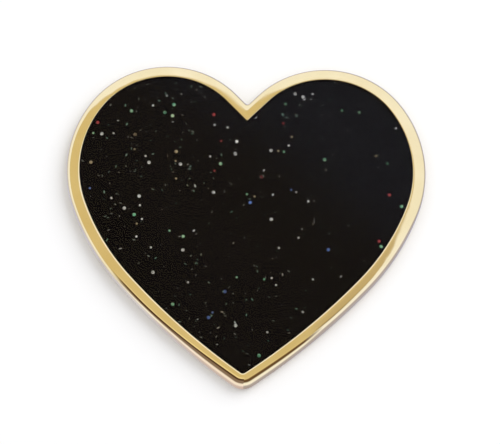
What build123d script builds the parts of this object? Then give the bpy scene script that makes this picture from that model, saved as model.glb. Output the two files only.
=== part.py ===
from build123d import *
import os
import random

# Heart-shaped glitter enamel pin, worn upright: +Z up, the face looks along -Y, the clutches are
# behind it along +Y. The origin is on the flat back, midway between the two posts. All in mm.

# Die-struck plate
plate_thickness = 1.2
rim_width = 1.15
outer_edge_round = 0.5
back_edge_round = 0.15
inner_edge_round = 0.12
cell_depth = 0.5
outer_tip_round = 1.5
cleft_round = 0.25
cell_tip_round = 0.3

# Heart outline of the enamel cell, right half, as (x, z): a straight notch side, then four arcs
cleft_end = (0, 9.95)
notch_end = (1.85, 11.9)
shoulder_start = (12.87, 11.29)
side_start = (14.35, 2.05)
flank_start = (10.15, -5.15)
tip_end = (0, -14.3)

# Glitter enamel: coloured fill, flakes lying on it, clear coat over both
coat_thickness = 0.15
flake_thickness = 0.02
flake_radius = 0.16
small_flake_radius = 0.1
flake_edge_gap = 0.3
scattered_flakes = {"silver": 24, "green": 10, "red": 3, "blue": 3, "gold": 8}
scatter_seed = 11

# The larger flakes that catch the light, as (x, z)
bright_flakes = {
    "silver": [
        (-13.0, 8.5), (-0.9, 8.0), (-1.0, 6.8), (-5.9, 5.7), (-8.7, 5.8), (-9.5, 2.5), (-10.8, 1.3),
        (-2.9, 3.0), (2.2, 7.2), (4.3, 12.8), (5.0, 12.5), (2.3, 0.5), (-5.5, -2.6), (-8.1, -4.8),
        (-0.7, -9.7),
    ],
    "green": [
        (-6.6, 11.5), (-6.7, 10.4), (-7.4, 10.7), (-10.4, 10.8), (-2.3, 5.8), (7.0, 6.4), (13.9, 2.0),
        (-9.9, 0.7), (-5.5, -1.3), (12.1, -1.9), (-6.3, -7.8), (1.4, -12.5),
    ],
    "red": [(-13.4, 9.6), (-3.0, 10.6), (1.4, 4.6), (12.8, 3.1), (11.9, -1.4)],
    "blue": [(0.4, 2.1), (7.4, -2.3), (-1.7, -6.5), (-3.1, -9.0)],
    "gold": [(-13.9, 5.7), (-6.3, 6.9), (-10.0, 8.5)],
}

# Posts, turned, soldered in shallow seats in the back
post_spacing = 15.0
post_radius = 0.575
flange_radius = 1.5
flange_thickness = 0.4
seat_radius = 1.75
seat_depth = 0.25
solder_rise = 0.12
solder_hollow = 0.4
groove_radius = 0.41
groove_start = 6.2
groove_end = 6.9
groove_flank = 0.12
collar_end = 7.7
tip_end_y = 8.7
tip_flat_radius = 0.1

# Butterfly clutches, one on each post
cloth_gap = 2.3
cup_radius = 5.5
cup_height = 1.0
cup_lip_radius = 4.7
cup_sheet = 0.3
cup_bend = 0.4
cup_hole_radius = 0.625
cup_collar_height = 0.85
nub_count = 4
nub_circle_radius = 3.4
nub_radius = 0.45
nub_height = 0.25
nub_taper = 40

clip_sheet = 0.3
clip_gap = 0.05
clip_ring_radius = 5.12
clip_window_radius = 3.5
band_inner = 1.7
band_width = 1.0
band_height = 3.2
band_foot = 3.65
band_shoulder = (3.25, 2.0)
band_top = 1.6
band_bend = 0.6

wing_sheet = 0.3
wing_neck = 1.65
wing_ear = 2.6
wing_ear_start = 2.1
wing_ear_end = 6.2
wing_ear_round = 1.9
jaw_half_width = 1.0
jaw_clearance = 0.03
wing_profile = [(0.45, 1.85), (1.4, 3.05), (2.3, 4.3), (wing_ear_end, 5.6)]
wing_bend = 0.45

enamel_top = plate_thickness - inner_edge_round - coat_thickness
cell_floor = plate_thickness - cell_depth

with BuildSketch() as heart:
    with BuildLine():
        notch = Line(cleft_end, notch_end)
        lobe = TangentArc(notch @ 1, shoulder_start, tangent=notch % 1)
        shoulder = TangentArc(lobe @ 1, side_start, tangent=lobe % 1)
        side = TangentArc(shoulder @ 1, flank_start, tangent=shoulder % 1)
        TangentArc(side @ 1, tip_end, tangent=side % 1)
        mirror(about=Plane.YZ)
    make_face()

with BuildSketch() as cell_outline:
    add(heart.sketch_local)
    fillet(cell_outline.vertices().sort_by(Axis.Y)[0], radius=cell_tip_round)

with BuildSketch() as plate_outline:
    add(heart.sketch_local)
    offset(amount=rim_width, kind=Kind.INTERSECTION)
    on_centre_line = plate_outline.vertices().filter_by_position(Axis.X, -0.01, 0.01).sort_by(Axis.Y)
    fillet(on_centre_line[0], radius=outer_tip_round)
    fillet(on_centre_line[-1], radius=cleft_round)

# Base plate: rim round a sunk cell, flat back with two seats for the posts
with BuildPart() as base_plate:
    with BuildSketch(Plane.XZ):
        add(plate_outline.sketch_local)
    extrude(amount=plate_thickness)
    front_edges = base_plate.faces().sort_by(Axis.Y)[0].edges()
    fillet(front_edges, radius=outer_edge_round)
    back_edges = base_plate.faces().sort_by(Axis.Y)[-1].edges()
    fillet(back_edges, radius=back_edge_round)
    with BuildSketch(Plane.XZ.offset(plate_thickness)):
        add(cell_outline.sketch_local)
    extrude(amount=-cell_depth, mode=Mode.SUBTRACT)
    rim_inner_edges = base_plate.faces().sort_by(Axis.Y)[0].inner_wires()[0].edges()
    fillet(rim_inner_edges, radius=inner_edge_round)
    with BuildSketch(Plane.XZ):
        with GridLocations(post_spacing, 0, 2, 1):
            Circle(seat_radius)
    extrude(amount=seat_depth, mode=Mode.SUBTRACT)
base_plate.part.label = "base_plate"

# Enamel fill
with BuildPart() as enamel_fill:
    with BuildSketch(Plane.XZ.offset(cell_floor)):
        add(cell_outline.sketch_local)
    extrude(amount=enamel_top - cell_floor)
enamel_fill.part.label = "enamel_fill"

# Flakes: the bright ones, and small ones scattered by a seeded draw that thins out to the right
cell_face = cell_outline.sketch_local.faces()[0]
inset_face = offset(cell_face, amount=-flake_edge_gap, mode=Mode.PRIVATE).faces()[0]
draw = random.Random(scatter_seed)
taken = [place for places in bright_flakes.values() for place in places]


def scattered_place():
    """A free place inside the cell, at least three flake radii from every flake already placed."""
    box = inset_face.bounding_box()
    while True:
        x = draw.uniform(box.min.X, box.max.X)
        z = draw.uniform(box.min.Y, box.max.Y)
        kept = draw.random() < 0.5 - 0.4 * x / box.max.X
        apart = all((x - tx) ** 2 + (z - tz) ** 2 > (3 * flake_radius) ** 2 for tx, tz in taken)
        if kept and apart and inset_face.is_inside((x, z, 0)):
            taken.append((x, z))
            return x, z


flake_groups = {}
for colour, places in bright_flakes.items():
    sized = [(place, flake_radius) for place in places]
    sized += [(scattered_place(), small_flake_radius) for _ in range(scattered_flakes[colour])]
    with BuildPart() as flakes:
        with BuildSketch(Plane.XZ.offset(enamel_top)):
            for place, radius in sized:
                with Locations(place):
                    RegularPolygon(radius, side_count=6, rotation=draw.uniform(0, 60))
        extrude(amount=flake_thickness)
    flakes.part.label = colour + "_flakes"
    flake_groups[colour] = flakes.part

# Clear coat, with a pocket round every flake
with BuildPart() as clear_coat:
    with BuildSketch(Plane.XZ.offset(enamel_top)):
        add(cell_outline.sketch_local)
    extrude(amount=coat_thickness)
    for group in flake_groups.values():
        add(group, mode=Mode.SUBTRACT)
clear_coat.part.label = "clear_coat"

pieces = [base_plate.part, enamel_fill.part, clear_coat.part, *flake_groups.values()]


def axis_plane(post_x):
    """The horizontal plane through a post's axis: local x runs out from the axis, local y backward."""
    return Plane(origin=(post_x, 0, 0), x_dir=(1, 0, 0), z_dir=(0, 0, 1))


def make_post(post_x):
    """Turned post: flange in its seat, shank, locking groove, full-width collar and blunt point."""
    with BuildPart() as post:
        with BuildSketch(axis_plane(post_x)):
            with BuildLine():
                Polyline(
                    (0, -seat_depth),
                    (flange_radius, -seat_depth),
                    (flange_radius, flange_thickness - seat_depth),
                    (post_radius, flange_thickness - seat_depth),
                    (post_radius, groove_start),
                    (groove_radius, groove_start + groove_flank),
                    (groove_radius, groove_end - groove_flank),
                    (post_radius, groove_end),
                    (post_radius, collar_end),
                    (tip_flat_radius, tip_end_y),
                    (0, tip_end_y),
                    close=True,
                )
            make_face()
        revolve(axis=Axis((post_x, 0, 0), (0, 1, 0)))
    return post.part


def make_solder(post_x):
    """Solder that fills the gap round the flange and rises to its edge in a hollow curve."""
    with BuildPart() as solder:
        with BuildSketch(axis_plane(post_x)):
            with BuildLine():
                Polyline((flange_radius, solder_rise), (flange_radius, -seat_depth), (seat_radius, -seat_depth))
                Line((seat_radius, -seat_depth), (seat_radius, 0))
                RadiusArc((seat_radius, 0), (flange_radius, solder_rise), solder_hollow)
            make_face()
        revolve(axis=Axis((post_x, 0, 0), (0, 1, 0)))
    return solder.part


def make_cup(post_x):
    """Round stamped cup: guide collar round the hole, flat front with nubs, rim crimped inward."""
    with BuildPart() as cup:
        with BuildSketch(axis_plane(post_x)):
            with BuildLine():
                FilletPolyline(
                    (cup_hole_radius, cloth_gap + cup_collar_height),
                    (cup_hole_radius, cloth_gap),
                    (cup_radius, cloth_gap),
                    (cup_radius, cloth_gap + cup_height),
                    (cup_lip_radius, cloth_gap + cup_height),
                    radius=cup_bend,
                )
                offset(amount=cup_sheet, side=Side.LEFT)
            make_face()
        revolve(axis=Axis((post_x, 0, 0), (0, 1, 0)))
        with BuildSketch(Plane.XZ.offset(-cloth_gap).move(Location((post_x, 0, 0)))):
            with PolarLocations(nub_circle_radius, nub_count, start_angle=180 / nub_count):
                Circle(nub_radius)
        extrude(amount=nub_height, taper=nub_taper)
    return cup.part


def make_clip(post_x):
    """Spring saddle: a ring held under the cup's rim, and two bands that arch over the window."""
    ring_y = cloth_gap + cup_sheet + clip_gap
    shoulder_x, shoulder_y = band_shoulder
    with BuildPart() as clip:
        with BuildSketch(Plane.XZ.offset(-ring_y).move(Location((post_x, 0, 0)))):
            Circle(clip_ring_radius)
            Circle(clip_window_radius, mode=Mode.SUBTRACT)
        extrude(amount=-clip_sheet)
        with BuildSketch(axis_plane(post_x).offset(band_inner)):
            with BuildLine():
                FilletPolyline(
                    (band_foot, ring_y),
                    (shoulder_x, cloth_gap + shoulder_y),
                    (band_top, cloth_gap + band_height),
                    (-band_top, cloth_gap + band_height),
                    (-shoulder_x, cloth_gap + shoulder_y),
                    (-band_foot, ring_y),
                    radius=band_bend,
                )
                offset(amount=clip_sheet, side=Side.LEFT)
            make_face()
        extrude(amount=band_width)
        mirror(about=Plane.XY)
    return clip.part


def make_wing(post_x, way):
    """Wing of the spring: a jaw notched round the post, a neck at the fold, and a rounded ear.

    way is +1 for the wing that opens toward +X and -1 for the other.
    """
    with BuildPart() as wing:
        with BuildSketch(axis_plane(post_x)):
            with BuildLine():
                FilletPolyline(*[(way * u, cloth_gap + v) for u, v in wing_profile], radius=wing_bend)
                offset(amount=wing_sheet, side=Side.RIGHT if way > 0 else Side.LEFT)
            make_face()
        extrude(amount=wing_ear, both=True)
        with BuildSketch(Plane.XZ.move(Location((post_x, 0, 0)))):
            with BuildLine():
                Polyline(
                    (0, -jaw_half_width),
                    (way * wing_profile[1][0], -wing_neck),
                    (way * wing_ear_start, -wing_neck),
                    (way * wing_ear_start, wing_neck),
                    (way * wing_profile[1][0], wing_neck),
                    (0, jaw_half_width),
                    close=True,
                )
            make_face()
            ear_length = wing_ear_end + wing_sheet - wing_ear_start
            with Locations((way * (wing_ear_start + ear_length / 2), 0)):
                RectangleRounded(ear_length, 2 * wing_ear, radius=wing_ear_round)
        extrude(amount=-tip_end_y, mode=Mode.INTERSECT)
        with BuildSketch(Plane.XZ.move(Location((post_x, 0, 0)))):
            Circle(post_radius + jaw_clearance)
        extrude(amount=-tip_end_y, mode=Mode.SUBTRACT)
    return wing.part


for side_name, post_x in (("left", -post_spacing / 2), ("right", post_spacing / 2)):
    made = {
        "post": make_post(post_x),
        "solder": make_solder(post_x),
        "clutch_cup": make_cup(post_x),
        "clutch_clip": make_clip(post_x),
        "clutch_wing_a": make_wing(post_x, 1),
        "clutch_wing_b": make_wing(post_x, -1),
    }
    for piece_name, piece in made.items():
        piece.label = side_name + "_" + piece_name
        pieces.append(piece)

os.makedirs("parts", exist_ok=True)
for piece in pieces:
    export_step(piece, "parts/" + piece.label + ".step")
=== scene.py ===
import math
import random

import bmesh
import bpy
from mathutils import Euler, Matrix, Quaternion, Vector


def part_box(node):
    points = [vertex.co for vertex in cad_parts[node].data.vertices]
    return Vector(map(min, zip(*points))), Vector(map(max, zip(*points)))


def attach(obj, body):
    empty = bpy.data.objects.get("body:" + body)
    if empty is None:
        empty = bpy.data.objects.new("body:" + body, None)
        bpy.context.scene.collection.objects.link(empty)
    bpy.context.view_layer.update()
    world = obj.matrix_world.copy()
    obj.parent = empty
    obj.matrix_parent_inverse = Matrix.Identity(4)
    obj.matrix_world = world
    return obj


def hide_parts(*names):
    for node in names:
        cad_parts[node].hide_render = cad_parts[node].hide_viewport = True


# Looks of the heart-shaped enamel pin. The frame stands as worn: -Y is the face, +Z is up.
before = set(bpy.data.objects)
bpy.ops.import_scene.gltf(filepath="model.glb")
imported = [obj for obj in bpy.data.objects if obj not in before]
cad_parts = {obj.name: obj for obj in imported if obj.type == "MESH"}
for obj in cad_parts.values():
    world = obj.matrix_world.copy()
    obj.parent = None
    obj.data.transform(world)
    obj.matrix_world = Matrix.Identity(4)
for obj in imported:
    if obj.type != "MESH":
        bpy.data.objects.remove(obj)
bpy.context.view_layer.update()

MM = 0.001

# --- places read from the frame -------------------------------------------------------------------
plate_low, plate_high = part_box("base_plate")
enamel_low, enamel_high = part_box("enamel_fill")
coat_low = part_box("clear_coat")[0]

PLATE_THICKNESS = -plate_low.y
RIM_WIDTH = plate_high.x - enamel_high.x
CELL_FLOOR = -enamel_high.y
ENAMEL_TOP = -enamel_low.y
COAT_TOP = -coat_low.y

# --- the heart outline ------------------------------------------------------------------------------
# The cell's outline, right half, as (x, z) in mm: the notch side is straight, then four arcs to the tip.
CLEFT_POINT = (0, 9.95)
ARC_ENDS = [(1.85, 11.9), (12.87, 11.29), (14.35, 2.05), (10.15, -5.15), (0, -14.3)]
CELL_TIP_ROUND = 0.3 * MM
CELL_CLEFT_ROUND = 0.12 * MM
OUTER_TIP_ROUND = 1.5 * MM
OUTER_CLEFT_ROUND = 0.25 * MM
CLEFT_STEPS = 6
NOTCH_STEPS = 10
ARC_STEPS = [90, 50, 40, 50]
TIP_STEPS = 12


def tangent_arc(start, end, tangent):
    """Centre and radius of the clockwise arc from start to end that leaves start along tangent."""
    normal = Vector((tangent.y, -tangent.x)).normalized()
    chord = end - start
    radius = chord.length_squared / (2 * chord.dot(normal))
    return start + normal * radius, radius


def arc_points(centre, radius, start_angle, end_angle, steps):
    """Points along an arc, leaving out the last, which starts the next stretch."""
    angles = [start_angle + (end_angle - start_angle) * i / steps for i in range(steps)]
    return [centre + radius * Vector((math.cos(a), math.sin(a))) for a in angles]


def heart_loop(grow, tip_round, cleft_round):
    """The closed heart outline grown outward by grow, clockwise from the cleft, as 2-D vectors (x, z)."""
    cleft = Vector(CLEFT_POINT) * MM
    ends = [Vector(p) * MM for p in ARC_ENDS]
    along = (ends[0] - cleft).normalized()
    outward = Vector((-along.y, along.x))

    apex = cleft.y + grow / outward.y
    round_centre = Vector((0, apex + cleft_round / outward.y))
    notch_angle = math.atan2(-outward.y, -outward.x)
    points = arc_points(round_centre, cleft_round, -math.pi / 2, notch_angle, CLEFT_STEPS)
    notch_start = round_centre - outward * cleft_round
    notch_end = ends[0] + outward * grow
    points += [notch_start.lerp(notch_end, i / NOTCH_STEPS) for i in range(NOTCH_STEPS)]

    tangent = along
    for number, steps in enumerate(ARC_STEPS):
        start, end = ends[number], ends[number + 1]
        centre, radius = tangent_arc(start, end, tangent)
        start_angle = math.atan2(start.y - centre.y, start.x - centre.x)
        end_angle = math.atan2(end.y - centre.y, end.x - centre.x)
        if end.x == 0:
            reach = radius + grow - tip_round
            tip_centre = Vector((0, centre.y - math.sqrt(reach**2 - centre.x**2)))
            end_angle = math.atan2(tip_centre.y - centre.y, -centre.x)
        points += arc_points(centre, radius + grow, start_angle, end_angle, steps)
        tangent = Vector((math.sin(end_angle), -math.cos(end_angle)))
    points += arc_points(tip_centre, tip_round, end_angle, -math.pi / 2, TIP_STEPS)

    tip = tip_centre - Vector((0, tip_round))
    mirrored = [Vector((-p.x, p.y)) for p in reversed(points[1:])]
    return points + [tip] + mirrored


OUTER_LOOP = heart_loop(RIM_WIDTH, OUTER_TIP_ROUND, OUTER_CLEFT_ROUND)
CELL_LOOP = heart_loop(0, CELL_TIP_ROUND, CELL_CLEFT_ROUND)


# --- mesh helpers -----------------------------------------------------------------------------------
def add_loop(bm, outline, height):
    """Vertices along an outline, at a height above the plate's back."""
    return [bm.verts.new((p.x, -height, p.y)) for p in outline]


def bridge(bm, first, second):
    """A band of quads between two vertex loops of the same length."""
    count = len(first)
    for i in range(count):
        j = (i + 1) % count
        bm.faces.new((first[i], first[j], second[j], second[i]))


def finish_mesh(bm, name, body, material, sharp_degrees=40):
    """Makes the piece from bm: outward normals, smooth faces, sharp edges, its material and its body."""
    bmesh.ops.recalc_face_normals(bm, faces=bm.faces)
    mesh = bpy.data.meshes.new(name)
    bm.to_mesh(mesh)
    bm.free()
    mesh.shade_smooth()
    mesh.set_sharp_from_angle(angle=math.radians(sharp_degrees))
    piece = bpy.data.objects.new(name, mesh)
    bpy.context.scene.collection.objects.link(piece)
    mesh.materials.append(material)
    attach(piece, body)
    return piece


# --- material helpers -------------------------------------------------------------------------------
def new_material(name):
    """An empty node material: (material, nodes, links)."""
    material = bpy.data.materials.new(name)
    material.use_nodes = True
    nodes, links = material.node_tree.nodes, material.node_tree.links
    nodes.clear()
    return material, nodes, links


def noise(nodes, links, scale, detail=2.0):
    """Noise in object space; scale is features per metre."""
    place = nodes.new("ShaderNodeTexCoord")
    texture = nodes.new("ShaderNodeTexNoise")
    texture.inputs["Scale"].default_value = scale
    texture.inputs["Detail"].default_value = detail
    links.new(place.outputs["Object"], texture.inputs["Vector"])
    return texture.outputs["Fac"]


def ramp(nodes, links, factor, stops):
    """A colour ramp over factor; stops are (position, colour)."""
    node = nodes.new("ShaderNodeValToRGB")
    elements = node.color_ramp.elements
    while len(elements) < len(stops):
        elements.new(0.5)
    for element, (position, colour) in zip(elements, stops):
        element.position = position
        element.color = (*colour, 1)
    links.new(factor, node.inputs["Fac"])
    return node.outputs["Color"]


def remap(nodes, links, factor, low, high):
    """factor from 0..1 to low..high."""
    node = nodes.new("ShaderNodeMapRange")
    node.inputs["To Min"].default_value = low
    node.inputs["To Max"].default_value = high
    links.new(factor, node.inputs["Value"])
    return node.outputs["Result"]


def math_node(nodes, links, operation, first, second):
    """One math operation on two values, each a socket or a number."""
    node = nodes.new("ShaderNodeMath")
    node.operation = operation
    for socket, value in zip(node.inputs, (first, second)):
        if isinstance(value, float):
            socket.default_value = value
        else:
            links.new(value, socket)
    return node.outputs["Value"]


def bump(nodes, links, height, depth, before=None):
    """A bump normal from height; depth is in metres."""
    node = nodes.new("ShaderNodeBump")
    node.inputs["Strength"].default_value = 1.0
    node.inputs["Distance"].default_value = depth
    links.new(height, node.inputs["Height"])
    if before is not None:
        links.new(before, node.inputs["Normal"])
    return node.outputs["Normal"]


def finish_material(nodes, links, shader):
    output = nodes.new("ShaderNodeOutputMaterial")
    links.new(shader, output.inputs["Surface"])


# How squarely a surface faces back, as a cosine, where its back_roughness starts and is full
FACING_BACK = (0.90, 0.99)


def metal(name, dark, bright, rough_low, rough_high, wave_depth, grain_depth, back_roughness=0.0):
    """Polished or stamped metal: colour drift, uneven polish, slow waves and fine grain in the surface.

    back_roughness is added where the surface faces straight back.
    """
    material, nodes, links = new_material(name)
    shader = nodes.new("ShaderNodeBsdfPrincipled")
    shader.inputs["Metallic"].default_value = 1.0
    colour = ramp(nodes, links, noise(nodes, links, 350), [(0.3, dark), (0.7, bright)])
    links.new(colour, shader.inputs["Base Color"])
    roughness = remap(nodes, links, noise(nodes, links, 900, 4), rough_low, rough_high)
    facing = nodes.new("ShaderNodeVectorMath")
    facing.operation = "DOT_PRODUCT"
    facing.inputs[1].default_value = (0, 1, 0)
    links.new(nodes.new("ShaderNodeTexCoord").outputs["Normal"], facing.inputs[0])
    at_back = nodes.new("ShaderNodeMapRange")
    at_back.inputs["From Min"].default_value, at_back.inputs["From Max"].default_value = FACING_BACK
    at_back.inputs["To Max"].default_value = back_roughness
    links.new(facing.outputs["Value"], at_back.inputs["Value"])
    uneven = math_node(nodes, links, "ADD", roughness, at_back.outputs["Result"])
    links.new(uneven, shader.inputs["Roughness"])
    waves = bump(nodes, links, noise(nodes, links, 420, 1), wave_depth)
    grain = bump(nodes, links, noise(nodes, links, 14000, 3), grain_depth, before=waves)
    links.new(grain, shader.inputs["Normal"])
    finish_material(nodes, links, shader.outputs["BSDF"])
    return material


GOLD = metal("polished_gold", (0.95, 0.79, 0.46), (1.0, 0.85, 0.53), 0.03, 0.08, 0.000012, 0.0000002, 0.18)
BRASS = metal("stamped_brass", (0.74, 0.56, 0.27), (0.86, 0.68, 0.36), 0.16, 0.30, 0.000010, 0.0000010)
SOLDER = metal("solder", (0.55, 0.54, 0.52), (0.70, 0.69, 0.66), 0.25, 0.45, 0.000020, 0.0000020)


# --- base plate -------------------------------------------------------------------------------------
BACK_EDGE_ROUND = 0.15 * MM
INNER_ROUND = 0.19 * MM
TOP_INNER_ROUND = 0.04 * MM
CROWN_INNER = math.radians(1)
CROWN_OUTER = math.radians(10)
SHOULDER_ROUND = 0.50 * MM
TIP_SHOULDER_ROUND = 0.90 * MM
TIP_REACH = 12 * MM
CLEFT_CROWN_SHARE = 0.1
CLEFT_REACH_LEFT = 14 * MM
CLEFT_REACH_RIGHT = 6 * MM
SEAT_RADIUS = 1.75 * MM
SEAT_DEPTH = 0.25 * MM
SEAT_STEPS = 64
BACK_EDGE_STEPS = 6
SHOULDER_STEPS = 16
CROWN_STEPS = 14
INNER_STEPS = 8
# The inner edge goes from INNER_ROUND to TOP_INNER_ROUND as its outward direction rises from -this to this
UPWARD_SPAN = 0.4


def ease(share):
    """0 below 0, 1 above 1, and a smooth rise between."""
    share = min(max(share, 0.0), 1.0)
    return share * share * (3 - 2 * share)


def turn(inset, height, radius, tilt_from, tilt_to, steps):
    """Profile points along an arc whose outward tilt falls from tilt_from to tilt_to, and where it ends."""
    points = []
    for i in range(1, steps + 1):
        tilt = tilt_from + (tilt_to - tilt_from) * i / steps
        points.append(
            (
                inset + radius * (math.sin(tilt_from) - math.sin(tilt)),
                height + radius * (math.cos(tilt) - math.cos(tilt_from)),
            )
        )
    return points


def rim_section(shoulder_round, crown_share, inner_round):
    """The rim's section as (inset, height), from the back edge over the crowned face to the cell floor."""
    square = math.pi / 2
    points = [(BACK_EDGE_ROUND, 0)]
    for i in range(1, BACK_EDGE_STEPS + 1):
        angle = square * i / BACK_EDGE_STEPS
        points.append((BACK_EDGE_ROUND * (1 - math.sin(angle)), BACK_EDGE_ROUND * (1 - math.cos(angle))))

    outer_tilt, inner_tilt = CROWN_OUTER * crown_share, CROWN_INNER * crown_share
    shoulder = turn(0, 0, shoulder_round, square, outer_tilt, SHOULDER_STEPS)
    inner_start = RIM_WIDTH - inner_round * (1 + math.sin(inner_tilt))
    crown_radius = (inner_start - shoulder[-1][0]) / (math.sin(outer_tilt) - math.sin(inner_tilt))
    crown = turn(*shoulder[-1], crown_radius, outer_tilt, inner_tilt, CROWN_STEPS)
    inner = turn(*crown[-1], inner_round, inner_tilt, -square, INNER_STEPS)
    top = shoulder + crown + inner
    lift = PLATE_THICKNESS - max(height for _, height in top)
    points += [(0, lift)] + [(inset, height + lift) for inset, height in top]
    points.append((RIM_WIDTH, CELL_FLOOR))
    return points


def build_base_plate():
    """The plate: wide-shouldered at the tip, flat-faced by the cleft, with two seats in its back."""
    cleft, tip = OUTER_LOOP[0], OUTER_LOOP[len(OUTER_LOOP) // 2]
    columns = []
    for outer, inner in zip(OUTER_LOOP, CELL_LOOP):
        from_tip = ease((outer - tip).length / TIP_REACH)
        shoulder_round = TIP_SHOULDER_ROUND + (SHOULDER_ROUND - TIP_SHOULDER_ROUND) * from_tip
        reach = CLEFT_REACH_LEFT if outer.x < 0 else CLEFT_REACH_RIGHT
        from_cleft = ease((outer - cleft).length / reach)
        crown_share = CLEFT_CROWN_SHARE + (1 - CLEFT_CROWN_SHARE) * from_cleft
        outward = (outer - inner).normalized()
        upward = ease((outward.y + UPWARD_SPAN) / (2 * UPWARD_SPAN))
        inner_round = INNER_ROUND + (TOP_INNER_ROUND - INNER_ROUND) * upward
        section = rim_section(shoulder_round, crown_share, inner_round)
        columns.append([(outer.lerp(inner, inset / RIM_WIDTH), height) for inset, height in section])

    bm = bmesh.new()
    loops = [[bm.verts.new((p.x, -height, p.y)) for p, height in row] for row in zip(*columns)]
    for first, second in zip(loops, loops[1:]):
        bridge(bm, first, second)
    bm.faces.new(loops[-1])

    back_edges = [bm.edges.get((a, b)) for a, b in zip(loops[0], loops[0][1:] + loops[0][:1])]
    for side in ("left", "right"):
        low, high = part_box(side + "_post")
        centre = Vector(((low.x + high.x) / 2, (low.z + high.z) / 2))
        circle = arc_points(centre, SEAT_RADIUS, 0, math.tau, SEAT_STEPS)
        mouth, floor = add_loop(bm, circle, 0), add_loop(bm, circle, SEAT_DEPTH)
        bridge(bm, mouth, floor)
        bm.faces.new(floor)
        back_edges += [bm.edges.get((a, b)) for a, b in zip(mouth, mouth[1:] + mouth[:1])]
    bmesh.ops.triangle_fill(bm, edges=back_edges, use_beauty=True, normal=(0, 1, 0))
    piece = finish_mesh(bm, "base_plate_shell", "badge", GOLD)
    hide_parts("base_plate")


build_base_plate()


# --- enamel, coat and glitter -----------------------------------------------------------------------
def enamel_material():
    """Near-black enamel with a faint warm drift and a very fine grain."""
    material, nodes, links = new_material("black_enamel")
    shader = nodes.new("ShaderNodeBsdfPrincipled")
    grain = nodes.new("ShaderNodeMix")
    grain.inputs["Factor"].default_value = 0.75
    links.new(noise(nodes, links, 160, 3), grain.inputs["A"])
    links.new(noise(nodes, links, 7500, 2), grain.inputs["B"])
    tones = [(0.30, (0.0011, 0.0006, 0.0011)), (0.70, (0.0026, 0.0016, 0.0026))]
    colour = ramp(nodes, links, grain.outputs["Result"], tones)
    links.new(colour, shader.inputs["Base Color"])
    roughness = remap(nodes, links, noise(nodes, links, 4000, 3), 0.35, 0.55)
    links.new(roughness, shader.inputs["Roughness"])
    shader.inputs["Specular IOR Level"].default_value = 0.0
    links.new(bump(nodes, links, noise(nodes, links, 9000, 2), 0.000002), shader.inputs["Normal"])
    finish_material(nodes, links, shader.outputs["BSDF"])
    return material


DOME_RADIUS = 520 * MM
COAT_GAP = 0.02 * MM
# From the coat's edge inward: how far in, and how far its top dips, in mm
COAT_STEPS = [(0.0, 0.05), (0.03, 0.02), (0.08, 0.008), (0.16, 0.002), (0.30, 0.0)]


def coat_material():
    """Clear resin: see-through, with the weak mirror of a faintly domed and wavy gloss on top."""
    material, nodes, links = new_material("clear_resin")
    clear = nodes.new("ShaderNodeBsdfTransparent")
    gloss = nodes.new("ShaderNodeBsdfGlossy")
    roughness = remap(nodes, links, noise(nodes, links, 700, 2), 0.07, 0.12)
    links.new(roughness, gloss.inputs["Roughness"])

    place = nodes.new("ShaderNodeTexCoord")
    reach = nodes.new("ShaderNodeVectorMath")
    reach.operation = "DOT_PRODUCT"
    links.new(place.outputs["Object"], reach.inputs[0])
    links.new(place.outputs["Object"], reach.inputs[1])
    dome = bump(nodes, links, remap(nodes, links, reach.outputs["Value"], 0, -0.5 / DOME_RADIUS), 1.0)
    waves = bump(nodes, links, noise(nodes, links, 130, 2), 0.00002, before=dome)
    links.new(waves, gloss.inputs["Normal"])
    facing = nodes.new("ShaderNodeFresnel")
    facing.inputs["IOR"].default_value = 1.175
    links.new(waves, facing.inputs["Normal"])
    mix = nodes.new("ShaderNodeMixShader")
    links.new(facing.outputs["Fac"], mix.inputs["Fac"])
    links.new(clear.outputs["BSDF"], mix.inputs[1])
    links.new(gloss.outputs["BSDF"], mix.inputs[2])
    finish_material(nodes, links, mix.outputs["Shader"])
    return material


def flake_material(name, stops):
    """Mirror glitter: stops spread the flakes' colours over a draw made for each, with a soft grain."""
    material, nodes, links = new_material(name)
    shader = nodes.new("ShaderNodeBsdfPrincipled")
    shader.inputs["Metallic"].default_value = 0.35
    geometry = nodes.new("ShaderNodeNewGeometry")
    links.new(ramp(nodes, links, geometry.outputs["Random Per Island"], stops), shader.inputs["Base Color"])
    roughness = remap(nodes, links, noise(nodes, links, 6000, 2), 0.35, 0.6)
    links.new(roughness, shader.inputs["Roughness"])
    links.new(bump(nodes, links, noise(nodes, links, 8000, 2), 0.00001), shader.inputs["Normal"])
    finish_material(nodes, links, shader.outputs["BSDF"])
    return material


def build_clear_coat():
    """The coat: a closed sheet whose top dips a little towards the rim, over the flakes."""
    bm = bmesh.new()
    bottom = add_loop(bm, CELL_LOOP, ENAMEL_TOP + COAT_GAP)
    loops = [bottom]
    for inset, dip in COAT_STEPS:
        outline = heart_loop(-inset * MM, CELL_TIP_ROUND, CELL_CLEFT_ROUND)
        loops.append(add_loop(bm, outline, COAT_TOP - dip * MM))
    for first, second in zip(loops, loops[1:]):
        bridge(bm, first, second)
    bm.faces.new(bottom)
    bm.faces.new(loops[-1])
    piece = finish_mesh(bm, "clear_coat_sheet", "badge", coat_material(), 60)
    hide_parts("clear_coat")


build_clear_coat()

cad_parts["enamel_fill"].data.materials.clear()
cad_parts["enamel_fill"].data.materials.append(enamel_material())

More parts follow.
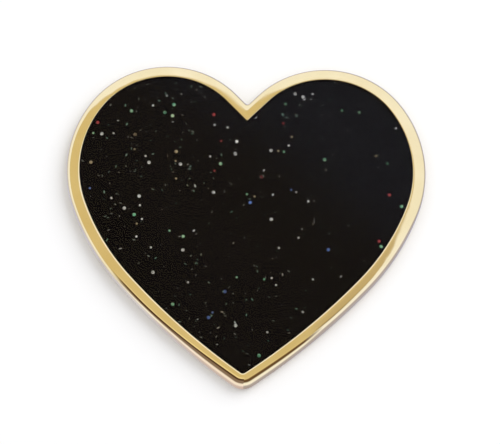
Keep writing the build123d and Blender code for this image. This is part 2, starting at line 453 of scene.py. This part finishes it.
FLAKES = {
    "silver_flakes": [(0.0, (0.20, 0.195, 0.19)), (0.5, (0.62, 0.61, 0.60)), (1.0, (1.0, 0.99, 0.99))],
    "green_flakes": [(0.0, (0.06, 0.20, 0.12)), (0.5, (0.14, 0.48, 0.27)), (1.0, (0.52, 0.60, 0.40))],
    "red_flakes": [(0.0, (0.14, 0.010, 0.018)), (1.0, (0.46, 0.045, 0.045))],
    "blue_flakes": [(0.0, (0.05, 0.07, 0.24)), (1.0, (0.12, 0.25, 0.70))],
    "gold_flakes": [(0.0, (0.16, 0.11, 0.06)), (1.0, (0.48, 0.38, 0.22))],
}
for node, stops in FLAKES.items():
    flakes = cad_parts[node]
    flakes.data.materials.clear()
    flakes.data.materials.append(flake_material(node, stops))

SPECK_COUNT = 330
SPECK_SEED = 5
SPECK_RADIUS = (0.06, 0.17)
SPECK_STRETCH = (0.2, 0.45)
SPECK_CORNERS = (3, 6)
SPECK_THICKNESS = 0.008 * MM
SPECK_EDGE_GAP = 0.12 * MM
SPECK_LIFT = (0.03, 0.08)
SPECK_LEAN = math.radians(25)
# Chance that a place is kept: in the middle, and what it falls by towards the right
KEEP_MIDDLE = 0.55
KEEP_FALL = 0.45
CLUSTER_COUNT = 26
CLUSTER_SPREAD = 1.3 * MM
CLUSTER_SHARE = 0.35
SPECK_TONES = [
    (0.0, (0.08, 0.08, 0.075)),
    (0.35, (0.12, 0.12, 0.11)),
    (0.50, (0.08, 0.18, 0.14)),
    (0.62, (0.15, 0.14, 0.13)),
    (0.74, (0.12, 0.26, 0.20)),
    (0.82, (0.24, 0.20, 0.16)),
    (0.90, (0.36, 0.37, 0.36)),
    (0.97, (0.65, 0.65, 0.65)),
    (1.0, (1.0, 1.0, 1.0)),
]


def inside(outline, point):
    """Is the point inside the closed outline? Counts the edges that a ray toward +x crosses."""
    crossings = 0
    for a, b in zip(outline, outline[1:] + outline[:1]):
        if (a.y > point.y) != (b.y > point.y):
            if point.x < a.x + (point.y - a.y) * (b.x - a.x) / (b.y - a.y):
                crossings += 1
    return crossings % 2 == 1


def add_speck(bm, draw, centre):
    """A thin irregular chip with its own size, shape and lean."""
    lean = Euler((draw.uniform(-SPECK_LEAN, SPECK_LEAN), 0, draw.uniform(-SPECK_LEAN, SPECK_LEAN)))
    corners = draw.randint(*SPECK_CORNERS)
    turned = draw.uniform(0, math.tau)
    size = draw.uniform(*SPECK_RADIUS) * MM
    stretch = draw.uniform(*SPECK_STRETCH)
    rings = []
    for depth in (0, SPECK_THICKNESS):
        ring = []
        for i in range(corners):
            angle = math.tau * i / corners
            flat = Vector((size * math.cos(angle), 0, size * stretch * math.sin(angle)))
            flat.rotate(Euler((0, turned, 0)))
            flat.y = depth
            flat.rotate(lean)
            ring.append(bm.verts.new(centre + flat))
        rings.append(ring)
    bridge(bm, *rings)
    bm.faces.new(rings[0])
    bm.faces.new(rings[1])


def build_fine_glitter():
    """Fine specks in the coat, thicker on the left, part of them in loose clusters."""
    draw = random.Random(SPECK_SEED)
    room = heart_loop(-SPECK_EDGE_GAP, CELL_TIP_ROUND, CELL_CLEFT_ROUND)

    def somewhere():
        while True:
            x = draw.uniform(enamel_low.x, enamel_high.x)
            place = Vector((x, draw.uniform(enamel_low.z, enamel_high.z)))
            if draw.random() < KEEP_MIDDLE - KEEP_FALL * x / enamel_high.x and inside(room, place):
                return place

    clusters = [somewhere() for _ in range(CLUSTER_COUNT)]
    bm = bmesh.new()
    made = 0
    while made < SPECK_COUNT:
        place = somewhere()
        if draw.random() < CLUSTER_SHARE:
            middle = draw.choice(clusters)
            place = middle + Vector((draw.gauss(0, CLUSTER_SPREAD), draw.gauss(0, CLUSTER_SPREAD)))
        if inside(room, place):
            add_speck(bm, draw, Vector((place.x, -ENAMEL_TOP - draw.uniform(*SPECK_LIFT) * MM, place.y)))
            made += 1
    finish_mesh(bm, "fine_glitter", "badge", flake_material("fine_glitter", SPECK_TONES), 30)


build_fine_glitter()

METALS = {
    "post": GOLD,
    "solder": SOLDER,
    "clutch_cup": BRASS,
    "clutch_clip": BRASS,
    "clutch_wing_a": BRASS,
    "clutch_wing_b": BRASS,
}
for side in ("left", "right"):
    for part, material in METALS.items():
        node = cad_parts[side + "_" + part]
        node.data.materials.clear()
        node.data.materials.append(material)


# --- studio -----------------------------------------------------------------------------------------
CAMERA_DISTANCE = 400 * MM
CAMERA_TILT = math.radians(22.72)
CAMERA_YAW = math.radians(-0.5)
CAMERA_ROLL = math.radians(0.95)
CAMERA_RIGHT = 0.421 * MM
CAMERA_UP = 0.552 * MM
FRAME_WIDTH = 44.56 * MM
SENSOR = 36.0
TO_CAMERA = Vector(
    (
        math.sin(CAMERA_YAW) * math.cos(CAMERA_TILT),
        -math.cos(CAMERA_YAW) * math.cos(CAMERA_TILT),
        -math.sin(CAMERA_TILT),
    )
)


def angle_unseen(nodes, links, geometry, widest_angle):
    """One where a surface is seen at a wider angle from square than widest_angle."""
    square = nodes.new("ShaderNodeVectorMath")
    square.operation = "DOT_PRODUCT"
    links.new(geometry.outputs["Incoming"], square.inputs[0])
    links.new(geometry.outputs["Normal"], square.inputs[1])
    return math_node(nodes, links, "LESS_THAN", square.outputs["Value"], math.cos(widest_angle))


def far_unseen(nodes, links, geometry, near, far):
    """Rises from 0 to 1 between two distances from the origin."""
    distance = nodes.new("ShaderNodeVectorMath")
    distance.operation = "LENGTH"
    links.new(geometry.outputs["Position"], distance.inputs[0])
    fade = nodes.new("ShaderNodeMapRange")
    fade.interpolation_type = "SMOOTHSTEP"
    fade.inputs["From Min"].default_value = near
    fade.inputs["From Max"].default_value = far
    links.new(distance.outputs["Value"], fade.inputs["Value"])
    return fade.outputs["Result"]


def stage_material(name, colour, unseen_part, *limits):
    """A pale matt surface, seen by the camera only and from its front only, but for its unseen part."""
    material, nodes, links = new_material(name)
    matt = nodes.new("ShaderNodeBsdfDiffuse")
    matt.inputs["Color"].default_value = (*colour, 1)
    clear = nodes.new("ShaderNodeBsdfTransparent")
    geometry = nodes.new("ShaderNodeNewGeometry")
    camera_ray = nodes.new("ShaderNodeLightPath").outputs["Is Camera Ray"]
    other_ray = math_node(nodes, links, "SUBTRACT", 1.0, camera_ray)
    unseen = math_node(nodes, links, "MAXIMUM", unseen_part(nodes, links, geometry, *limits), other_ray)
    hidden = math_node(nodes, links, "MAXIMUM", unseen, geometry.outputs["Backfacing"])
    mix = nodes.new("ShaderNodeMixShader")
    links.new(hidden, mix.inputs["Fac"])
    links.new(matt.outputs["BSDF"], mix.inputs[1])
    links.new(clear.outputs["BSDF"], mix.inputs[2])
    finish_material(nodes, links, mix.outputs["Shader"])
    return material


def stage_sheet(name, corners, material):
    mesh = bpy.data.meshes.new(name)
    mesh.from_pydata(corners, [], [(0, 1, 2, 3)])
    sheet = bpy.data.objects.new(name, mesh)
    bpy.context.scene.collection.objects.link(sheet)
    sheet.data.materials.append(material)


CARD_Y = 0.2 * MM
CARD_HALF = 250 * MM
CARD_ANGLE = math.radians(38)
FLOOR_Z = plate_low.z - 0.3 * MM
FLOOR_HALF = 400 * MM
FLOOR_FADE = (40 * MM, 190 * MM)
CORNERS = [(-1, -1), (1, -1), (1, 1), (-1, 1)]
stage_sheet(
    "card_sheet",
    [(CARD_HALF * x, CARD_Y, CARD_HALF * z) for x, z in CORNERS],
    stage_material("card_white", (0.93, 0.93, 0.94), angle_unseen, CARD_ANGLE),
)
stage_sheet(
    "floor",
    [(FLOOR_HALF * x, FLOOR_HALF * y, FLOOR_Z) for x, y in CORNERS],
    stage_material("floor_pale", (0.86, 0.86, 0.86), far_unseen, *FLOOR_FADE),
)


KEY_PLACE = (0.24, -0.28, 0.20)
KEY_SIZE = 0.36
KEY_POWER = 0.95
KEY_COLOUR = (1.0, 0.99, 0.97)


def build_key_light():
    """A softbox in front, up and to the right, aimed at the pin, that the gold doesn't mirror."""
    data = bpy.data.lights.new("key_softbox", "AREA")
    data.shape = "SQUARE"
    data.size = KEY_SIZE
    data.energy = KEY_POWER
    data.color = KEY_COLOUR
    light = bpy.data.objects.new("key_softbox", data)
    light.location = KEY_PLACE
    light.rotation_euler = (-Vector(KEY_PLACE)).to_track_quat("-Z", "Y").to_euler()
    light.visible_glossy = False
    bpy.context.scene.collection.objects.link(light)


build_key_light()


# --- surroundings ------------------------------------------------------------------------------------
# Left of MIDDLE: the dim part of the room, as a disc in (x, z) of the direction a mirror faces
DIM_CENTRE = (-0.213, 0.0, -0.272)
DIM_RADIUS = 0.370
DIM_EDGE = 0.006
DIM_COLOUR = (0.675, 0.571, 0.333)
BRIGHT_COLOUR = (0.936, 0.975, 1.06)
# Over it, tones for the flank by how far down a mirror faces, and for the tip by how steeply
LOW_START = -0.12
LOW_SOFTNESS = 0.01
LOW_END = -1.0
FLANK_TONES = [
    (0.0, (0.675, 0.571, 0.333)),
    (0.09, (0.68, 0.58, 0.34)),
    (0.13, (0.88, 0.78, 0.52)),
    (0.193, (0.88, 0.78, 0.52)),
    (0.227, (0.06, 0.028, 0.012)),
    (0.370, (0.06, 0.028, 0.012)),
    (0.430, (0.28, 0.21, 0.20)),
    (0.480, (0.30, 0.24, 0.23)),
    (0.545, (0.95, 1.0, 1.2)),
    (0.640, (0.95, 1.0, 1.2)),
    (0.690, (0.62, 0.58, 0.80)),
    (0.773, (0.58, 0.57, 0.76)),
    (1.0, (0.58, 0.57, 0.76)),
]
TIP_TONES = [
    (0.0, (0.675, 0.571, 0.333)),
    (0.24, (0.68, 0.58, 0.34)),
    (0.28, (0.88, 0.78, 0.52)),
    (0.36, (0.88, 0.78, 0.52)),
    (0.40, (0.08, 0.04, 0.022)),
    (0.50, (0.08, 0.04, 0.022)),
    (0.56, (0.24, 0.185, 0.18)),
    (0.73, (0.26, 0.20, 0.19)),
    (0.80, (0.95, 0.94, 1.15)),
    (0.90, (0.95, 0.94, 1.15)),
    (0.96, (0.66, 0.58, 0.80)),
    (1.0, (0.60, 0.53, 0.66)),
]
FLANK_AXIS = (0.643, 0.0, -0.766)
FLANK_START = (0.0, 0.06)
TIP_AXIS = (0.755, 0.0, -0.656)
TIP_START = (0.0, 0.06)
# Right of MIDDLE: a dim part with a long slanted edge, and in it tones by how steeply a mirror faces away
MIDDLE = (0.045, 0.015)
WIDE_CENTRE = (-0.289, 0.0, -0.542)
WIDE_RADIUS = 0.631
WIDE_END = (-0.30, 0.03)
RIGHT_FLANK_TONES = [
    (0.0, (0.56, 0.47, 0.30)),
    (0.24, (0.53, 0.44, 0.28)),
    (0.32, (0.27, 0.21, 0.12)),
    (0.40, (0.27, 0.21, 0.12)),
    (0.46, (0.95, 1.0, 1.1)),
    (0.74, (0.95, 1.0, 1.2)),
    (0.84, (0.50, 0.48, 0.66)),
    (1.0, (0.40, 0.38, 0.50)),
]
RIGHT_TIP_TONES = [
    (0.0, (0.64, 0.55, 0.33)),
    (0.30, (0.68, 0.58, 0.35)),
    (0.42, (0.74, 0.64, 0.39)),
    (0.49, (0.15, 0.09, 0.05)),
    (0.66, (0.12, 0.07, 0.04)),
    (0.75, (0.95, 1.0, 1.1)),
    (0.86, (0.95, 1.0, 1.2)),
    (0.94, (0.44, 0.42, 0.58)),
    (1.0, (0.40, 0.38, 0.50)),
]
RIGHT_AXIS = (1.0, 0.0, 0.78)
RIGHT_START = (0.067, 0.03)
# Where a mirror faces steeply away
EDGE_CENTRE = (0.0, 0.0, -0.25)
EDGE = (0.82, 0.08)
EDGE_COLOUR = (0.58, 0.59, 0.78)
EDGE_RIGHT_COLOUR = (0.44, 0.44, 0.60)
EDGE_MIDDLE = (0.1, 0.2)
# What the matt surfaces see of the room; the camera sees plain white
WHITE_STRENGTH = 0.82


def build_world():
    """Studio surroundings, laid out by which way a mirror must face to show them to the camera."""
    world = bpy.data.worlds.new("studio")
    bpy.context.scene.world = world
    world.use_nodes = True
    nodes, links = world.node_tree.nodes, world.node_tree.links
    nodes.clear()

    def vector_math(operation, first, second):
        node = nodes.new("ShaderNodeVectorMath")
        node.operation = operation
        for socket, value in zip(node.inputs, (first, second)):
            if isinstance(value, tuple):
                socket.default_value = value
            elif value is not None:
                links.new(value, socket)
        return node.outputs["Value" if operation in ("DISTANCE", "DOT_PRODUCT") else "Vector"]

    def step(value, edge, softness):
        node = nodes.new("ShaderNodeMapRange")
        node.interpolation_type = "SMOOTHSTEP"
        node.inputs["From Min"].default_value = edge - softness
        node.inputs["From Max"].default_value = edge + softness
        links.new(value, node.inputs["Value"])
        return node.outputs["Result"]

    def mix(factor, first, second):
        node = nodes.new("ShaderNodeMix")
        node.data_type = "RGBA"
        links.new(factor, node.inputs["Factor"])
        for socket, value in ((node.inputs["A"], first), (node.inputs["B"], second)):
            if isinstance(value, tuple):
                socket.default_value = (*value, 1)
            else:
                links.new(value, socket)
        return node.outputs["Result"]

    direction = nodes.new("ShaderNodeTexCoord").outputs["Generated"]
    facing = vector_math("NORMALIZE", vector_math("ADD", direction, tuple(TO_CAMERA)), None)
    flat = vector_math("MULTIPLY", facing, (1, 0, 1))
    across = vector_math("DOT_PRODUCT", facing, (1.0, 0.0, 0.0))
    up = vector_math("DOT_PRODUCT", facing, (0.0, 0.0, 1.0))
    in_dim = step(vector_math("DISTANCE", flat, DIM_CENTRE), DIM_RADIUS, DIM_EDGE)
    upper = mix(in_dim, DIM_COLOUR, BRIGHT_COLOUR)
    below = nodes.new("ShaderNodeMapRange")
    below.inputs["From Min"].default_value = LOW_START
    below.inputs["From Max"].default_value = LOW_END
    links.new(up, below.inputs["Value"])
    flank_tones = ramp(nodes, links, below.outputs["Result"], FLANK_TONES)
    lean = vector_math("DISTANCE", flat, (0.0, 0.0, 0.0))
    heading = vector_math("NORMALIZE", flat, None)
    tip_tones = ramp(nodes, links, lean, TIP_TONES)
    tones = mix(step(vector_math("DOT_PRODUCT", heading, TIP_AXIS), *TIP_START), flank_tones, tip_tones)
    lower = mix(step(vector_math("DOT_PRODUCT", heading, FLANK_AXIS), *FLANK_START), upper, tones)
    left = mix(step(up, LOW_START, LOW_SOFTNESS), lower, upper)

    near_tip = ramp(nodes, links, lean, RIGHT_TIP_TONES)
    flank = ramp(nodes, links, lean, RIGHT_FLANK_TONES)
    under = mix(step(vector_math("DOT_PRODUCT", heading, RIGHT_AXIS), *RIGHT_START), near_tip, flank)
    in_wide = step(vector_math("DISTANCE", flat, WIDE_CENTRE), WIDE_RADIUS, DIM_EDGE)
    right = mix(step(up, *WIDE_END), under, mix(in_wide, under, BRIGHT_COLOUR))

    room = mix(step(across, *MIDDLE), left, right)
    steepness = vector_math("DISTANCE", flat, EDGE_CENTRE)
    edge = mix(step(across, *EDGE_MIDDLE), EDGE_COLOUR, EDGE_RIGHT_COLOUR)
    surroundings = mix(step(steepness, *EDGE), room, edge)

    background = nodes.new("ShaderNodeBackground")
    white = nodes.new("ShaderNodeBackground")
    white.inputs["Color"].default_value = (1.0, 1.0, 1.0, 1)
    path = nodes.new("ShaderNodeLightPath")
    strength = remap(nodes, links, path.outputs["Is Camera Ray"], WHITE_STRENGTH, 1.0)
    links.new(strength, white.inputs["Strength"])
    plain = math_node(nodes, links, "MAXIMUM", path.outputs["Is Camera Ray"], path.outputs["Is Diffuse Ray"])
    links.new(surroundings, background.inputs["Color"])
    both = nodes.new("ShaderNodeMixShader")
    links.new(plain, both.inputs["Fac"])
    links.new(background.outputs["Background"], both.inputs[1])
    links.new(white.outputs["Background"], both.inputs[2])
    output = nodes.new("ShaderNodeOutputWorld")
    links.new(both.outputs["Shader"], output.inputs["Surface"])


build_world()


def build_camera():
    """A long lens below the tip's level, looking up at the face."""
    data = bpy.data.cameras.new("photo_camera")
    data.sensor_width = SENSOR
    data.lens = SENSOR * CAMERA_DISTANCE / FRAME_WIDTH
    data.clip_start = 1 * MM
    camera = bpy.data.objects.new("photo_camera", data)
    level = (-TO_CAMERA).to_track_quat("-Z", "Y")
    right, up = level @ Vector((1, 0, 0)), level @ Vector((0, 1, 0))
    camera.location = TO_CAMERA * CAMERA_DISTANCE + right * CAMERA_RIGHT + up * CAMERA_UP
    camera.rotation_mode = "QUATERNION"
    camera.rotation_quaternion = level @ Quaternion((0, 0, 1), CAMERA_ROLL)
    bpy.context.scene.collection.objects.link(camera)
    bpy.context.scene.camera = camera


build_camera()
bpy.context.scene.view_settings.view_transform = "Standard"
